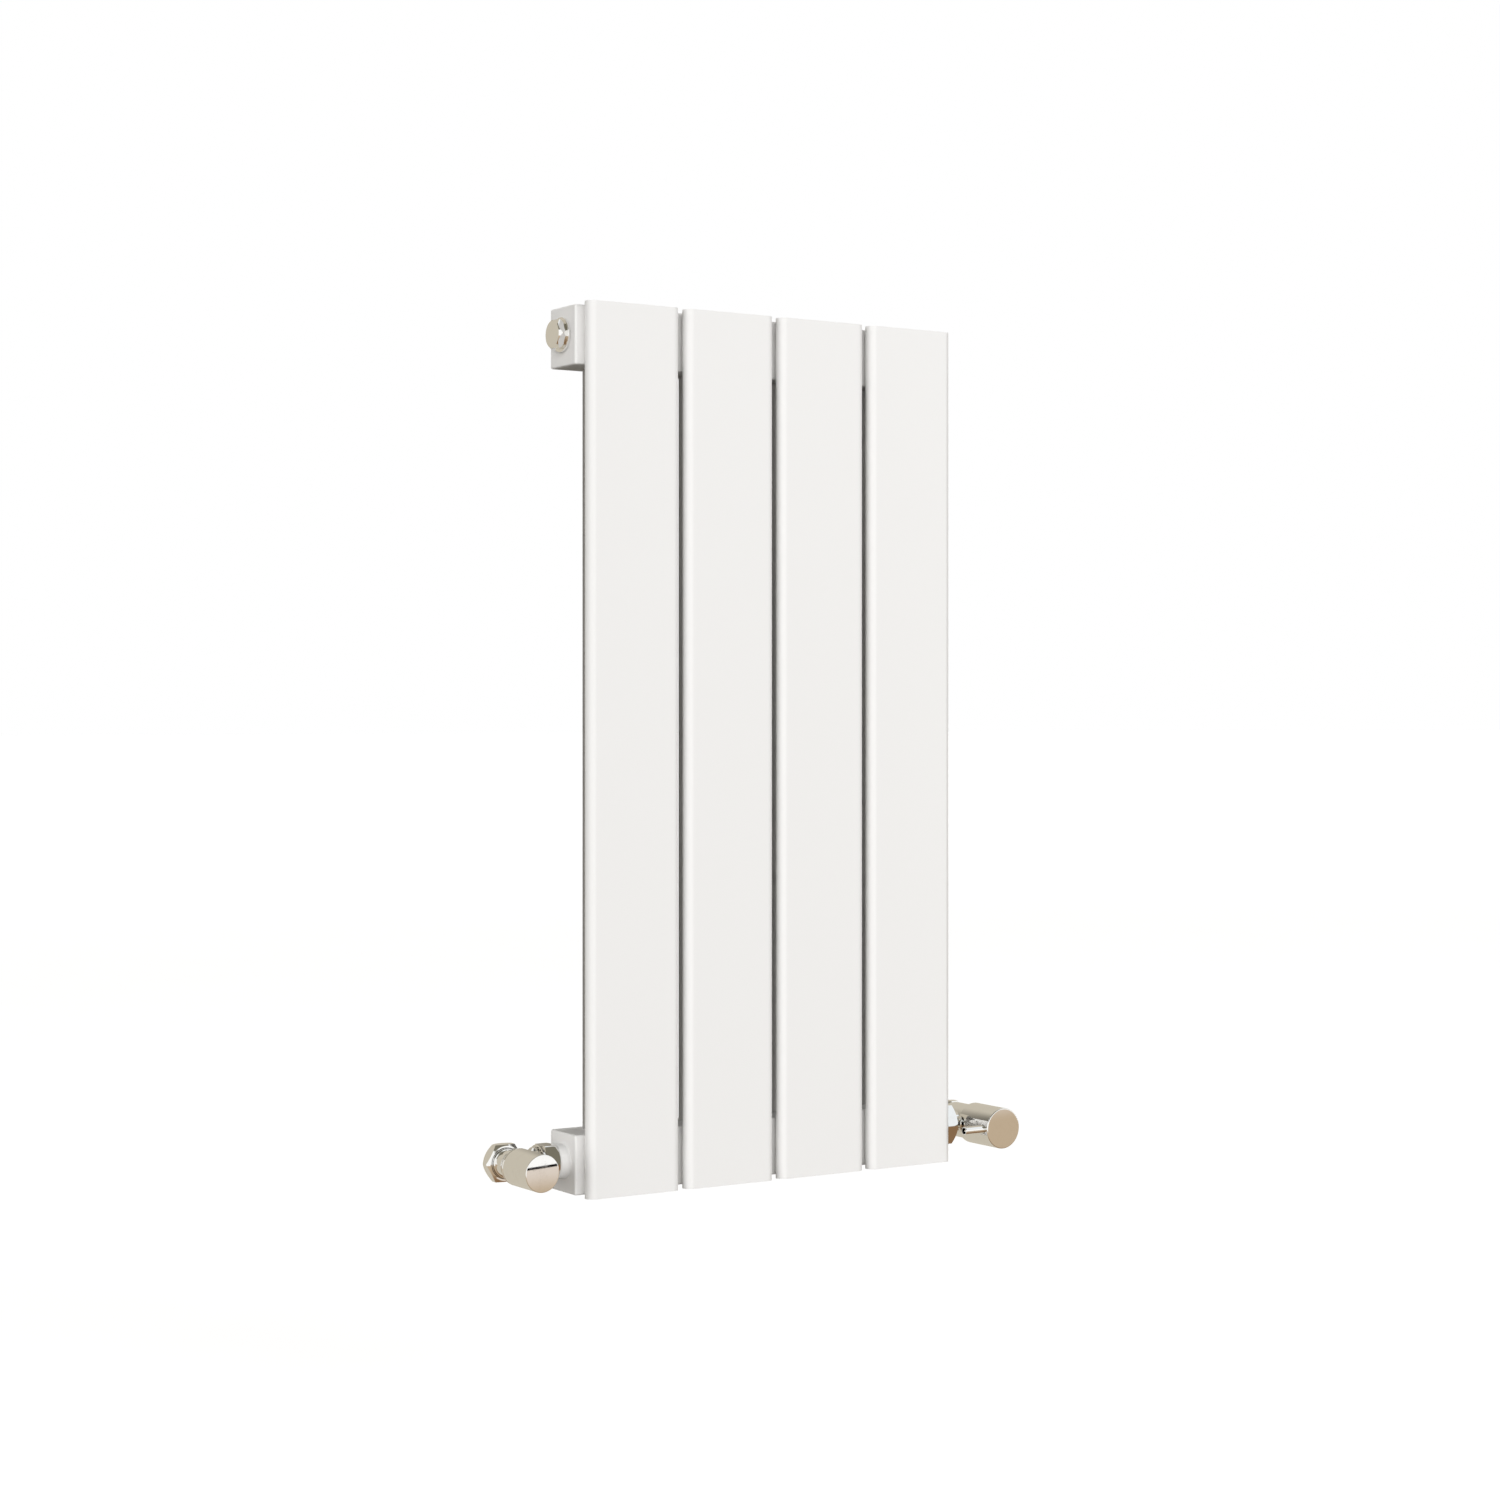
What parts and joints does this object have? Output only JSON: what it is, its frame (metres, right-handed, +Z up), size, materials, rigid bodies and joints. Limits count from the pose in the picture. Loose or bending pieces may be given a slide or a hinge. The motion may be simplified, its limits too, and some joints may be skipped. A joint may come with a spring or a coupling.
{
  "type": "radiator with valve",
  "caption": "Wall-hung white steel radiator with upright flat panels on square headers, a chrome corner lockshield valve and a chrome corner manual valve with a lever.",
  "frame": {"origin": "on the wall plane, behind the middle of the panels in width and in height", "axes": "+Z up, +Y into the wall, -Y towards the room, +X to the right seen from the room"},
  "size_m": [0.4063, 0.0902, 0.6],
  "materials": {
    "white_paint": "satin white stoved powder paint",
    "chrome": "polished, warm tone",
    "brass": "machined",
    "zinc_steel": "zinc plated",
    "black_rubber": "matt"
  },
  "bodies": {
    "radiator": {"panel_tube_1": "white_paint", "panel_cap_top_1": "white_paint", "panel_cap_bottom_1": "white_paint", "convector_channel_1": "white_paint", "panel_tube_2": "white_paint", "panel_cap_top_2": "white_paint", "panel_cap_bottom_2": "white_paint", "convector_channel_2": "white_paint", "panel_tube_3": "white_paint", "panel_cap_top_3": "white_paint", "panel_cap_bottom_3": "white_paint", "convector_channel_3": "white_paint", "panel_tube_4": "white_paint", "panel_cap_top_4": "white_paint", "panel_cap_bottom_4": "white_paint", "convector_channel_4": "white_paint", "header_tube_top": "white_paint", "header_end_top_left": "white_paint", "hanging_lug_top_left": "white_paint", "wall_bracket_top_left": "zinc_steel", "header_end_top_right": "white_paint", "hanging_lug_top_right": "white_paint", "wall_bracket_top_right": "zinc_steel", "header_tube_bottom": "white_paint", "header_end_bottom_left": "white_paint", "hanging_lug_bottom_left": "white_paint", "wall_bracket_bottom_left": "zinc_steel", "header_end_bottom_right": "white_paint", "hanging_lug_bottom_right": "white_paint", "wall_bracket_bottom_right": "zinc_steel", "inlet_boss_left": "white_paint", "blanking_plug": "chrome", "blanking_plug_seal": "black_rubber", "bleed_plug": "chrome", "bleed_plug_seal": "black_rubber", "lockshield_body": "chrome", "lockshield_tail": "brass", "lockshield_olive": "brass", "lockshield_headgear": "brass", "lockshield_gland_seal": "black_rubber", "manual_body": "chrome", "manual_tail": "brass", "manual_olive": "brass", "manual_headgear": "brass", "manual_gland_seal": "black_rubber"},
    "lockshield_cap": {"lockshield_cap": "chrome"},
    "lockshield_spindle": {"lockshield_spindle": "brass"},
    "lockshield_plug": {"lockshield_valve_plug": "brass", "lockshield_seat_washer": "black_rubber"},
    "lockshield_union_nut": {"lockshield_union_nut": "chrome"},
    "lockshield_compression_nut": {"lockshield_compression_nut": "chrome"},
    "manual_handle": {"manual_handle": "chrome", "manual_lever": "chrome", "manual_spindle": "brass"},
    "manual_plug": {"manual_valve_plug": "brass", "manual_seat_washer": "black_rubber"},
    "manual_union_nut": {"manual_union_nut": "chrome"},
    "manual_compression_nut": {"manual_compression_nut": "chrome"},
    "bleed_screw": {"bleed_screw": "brass"}
  },
  "joints": [
    {"name": "manual_turn", "type": "hinge", "parent": "radiator", "child": "manual_handle", "pos_m": [0.18485, -0.0455, -0.2769], "axis": [0, 1, 0], "range_deg": [0, 540]},
    {"name": "manual_plug_slide", "type": "slide", "parent": "radiator", "child": "manual_plug", "axis": [0, 1, 0], "range_m": [0, 0.003]},
    {"name": "lockshield_cap_pull", "type": "slide", "parent": "radiator", "child": "lockshield_cap", "axis": [0, -1, 0], "range_m": [0, 0.032]},
    {"name": "lockshield_turn", "type": "hinge", "parent": "radiator", "child": "lockshield_spindle", "pos_m": [-0.19235, -0.0455, -0.2769], "axis": [0, 1, 0], "range_deg": [0, 540]},
    {"name": "lockshield_plug_slide", "type": "slide", "parent": "radiator", "child": "lockshield_plug", "axis": [0, 1, 0], "range_m": [0, 0.003]},
    {"name": "lockshield_union_turn", "type": "hinge", "parent": "radiator", "child": "lockshield_union_nut", "pos_m": [-0.16735, -0.0455, -0.2769], "axis": [1, 0, 0], "continuous": true},
    {"name": "lockshield_compression_turn", "type": "hinge", "parent": "radiator", "child": "lockshield_compression_nut", "pos_m": [-0.19235, -0.0305, -0.2769], "axis": [0, 1, 0], "continuous": true},
    {"name": "manual_union_turn", "type": "hinge", "parent": "radiator", "child": "manual_union_nut", "pos_m": [0.16085, -0.0455, -0.2769], "axis": [1, 0, 0], "continuous": true},
    {"name": "manual_compression_turn", "type": "hinge", "parent": "radiator", "child": "manual_compression_nut", "pos_m": [0.18485, -0.0235, -0.2769], "axis": [0, 1, 0], "continuous": true},
    {"name": "bleed_turn", "type": "hinge", "parent": "radiator", "child": "bleed_screw", "pos_m": [0.15485, -0.0455, 0.2792], "axis": [1, 0, 0], "range_deg": [0, 360]}
  ],
  "couplings": [
    {"joint": "manual_plug_slide", "follows": "manual_turn", "m_per_rad": 0.00031799},
    {"joint": "lockshield_turn", "follows": "lockshield_plug_slide", "rad_per_m": 3138.5}
  ]
}
